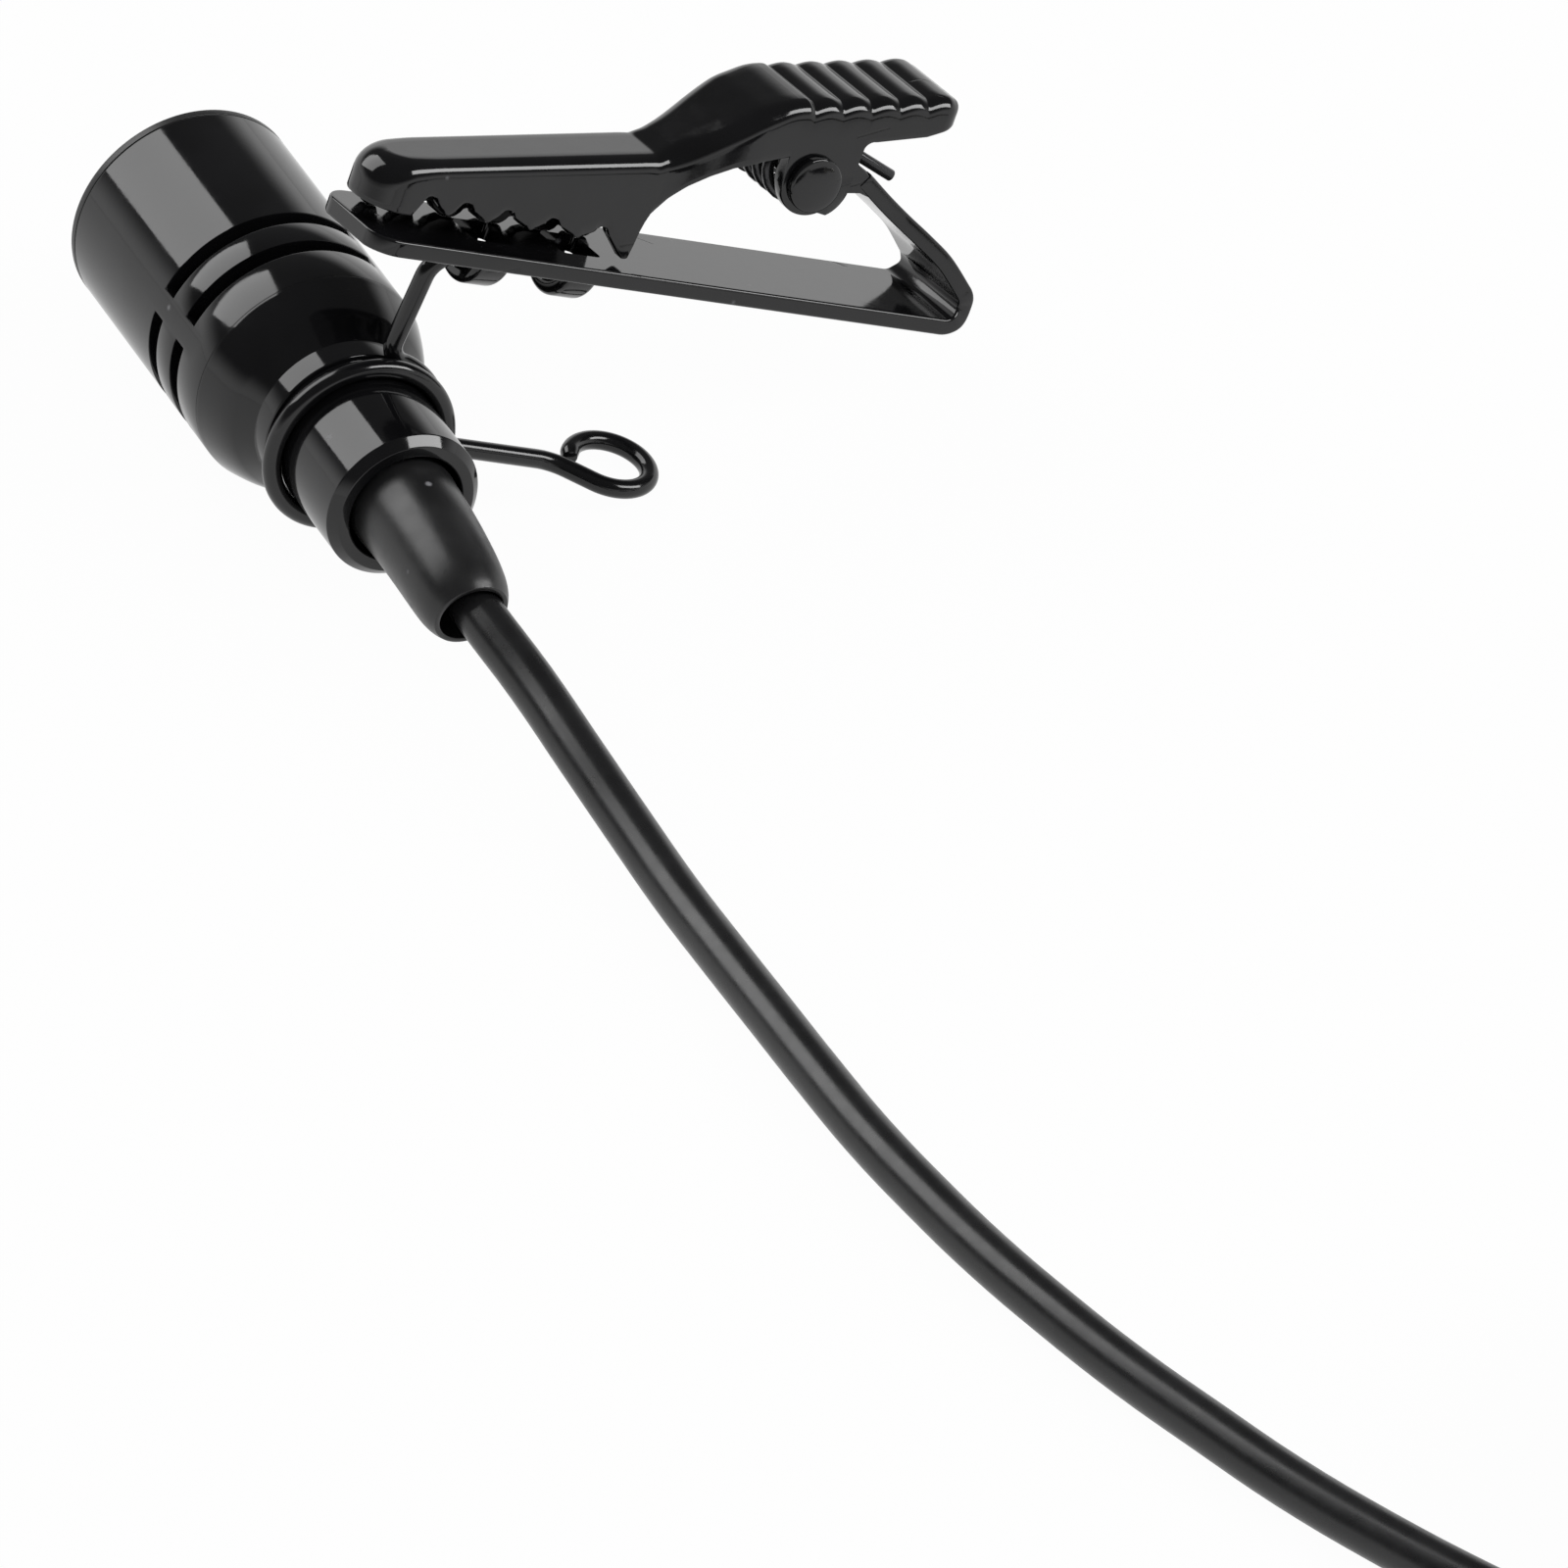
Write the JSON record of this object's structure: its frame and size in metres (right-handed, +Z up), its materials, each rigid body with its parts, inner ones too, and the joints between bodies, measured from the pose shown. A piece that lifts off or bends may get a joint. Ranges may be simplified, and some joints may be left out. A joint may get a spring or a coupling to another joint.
{
  "type": "lavalier microphone",
  "caption": "Clip-on lavalier microphone: slotted metal head with a rubber strain relief, held in a sprung wire ring on a swivelling tie clip, with a coiled cable and a jack plug.",
  "frame": {"origin": "middle of the footprint of the microphone and its clip, on the surface it lies on; the free cable isn't counted", "axes": "+Y is the microphone's axis towards its front, +X runs from the microphone to the clip's rear end, +Z is up"},
  "size_m": [0.0656, 0.1401, 0.022],
  "materials": {
    "body_enamel": "gloss black enamel",
    "clip_lacquer": "gloss black lacquer",
    "wire_enamel": "gloss black enamel",
    "spring_steel": "blackened spring steel",
    "boot_rubber": "satin black rubber",
    "cable_jacket": "satin black jacket",
    "mesh_metal": "black woven mesh",
    "foam": "open foam",
    "cloth": "fine acoustic cloth",
    "seat_rubber": "soft rubber",
    "can_metal": "drawn aluminium",
    "brass": "machined brass",
    "film": "metallised film",
    "white_plastic": "moulded plastic",
    "board": "glass-epoxy board",
    "black_plastic": "moulded plastic",
    "solder": "solder",
    "lead_red": "insulated wire",
    "lead_bare": "tinned copper",
    "ferrule_metal": "plated steel",
    "tie_strap": "nylon strap",
    "contact_metal": "nickel-plated brass"
  },
  "bodies": {
    "microphone": {"housing": "body_enamel", "front_bezel": "body_enamel", "front_mesh": "mesh_metal", "foam_disc": "foam", "slot_cloth": "cloth", "capsule_seat": "seat_rubber", "capsule_can": "can_metal", "capsule_felt": "cloth", "diaphragm_ring": "brass", "diaphragm": "film", "spacer_ring": "white_plastic", "backplate": "brass", "backplate_holder": "white_plastic", "contact_ring": "brass", "capsule_board": "board", "transistor": "black_plastic", "solder_pads": "solder", "rear_body": "body_enamel", "signal_lead": "lead_red", "shield_lead": "lead_bare", "crimp_ferrule": "ferrule_metal", "cable_tail": "cable_jacket", "boot": "boot_rubber", "cable": "cable_jacket", "cable_coil": "cable_jacket", "coil_tie": "tie_strap", "cable_end": "cable_jacket", "plug_boot": "boot_rubber", "plug_shell": "body_enamel", "plug_sleeve": "contact_metal", "plug_insulators": "black_plastic", "plug_ring": "contact_metal", "plug_tip": "contact_metal"},
    "wire_mount": {"mount_wire": "wire_enamel", "ring_coil": "wire_enamel"},
    "ring_lever": {"ring_lever": "wire_enamel"},
    "lower_jaw": {"lower_jaw": "clip_lacquer", "pivot_pin": "clip_lacquer", "torsion_spring": "spring_steel"},
    "upper_jaw": {"upper_jaw": "clip_lacquer"}
  },
  "joints": [
    {"name": "ring_turn", "type": "hinge", "parent": "microphone", "child": "wire_mount", "pos_m": [-0.0132, -0.0032, 0.006], "axis": [0, 1, 0], "continuous": true},
    {"name": "lever_squeeze", "type": "hinge", "parent": "wire_mount", "child": "ring_lever", "pos_m": [-0.0132, -0.0032, 0.006], "axis": [0, -1, 0], "range_deg": [0, 12], "stiffness_Nm_per_rad": 0.002, "springref_deg": -14.32, "deforming": ["ring_coil"]},
    {"name": "clip_swivel", "type": "hinge", "parent": "wire_mount", "child": "lower_jaw", "pos_m": [-0.01288, -0.00275, 0.01767], "axis": [0.9015, 0, -0.4327], "range_deg": [-80, 80]},
    {"name": "jaw_open", "type": "hinge", "parent": "lower_jaw", "child": "upper_jaw", "pos_m": [0.01047, -0.00166, 0.01442], "axis": [-0.065, 0.9887, -0.1354], "range_deg": [0, 25], "stiffness_Nm_per_rad": 0.012, "springref_deg": -34.38, "deforming": ["torsion_spring"]}
  ]
}
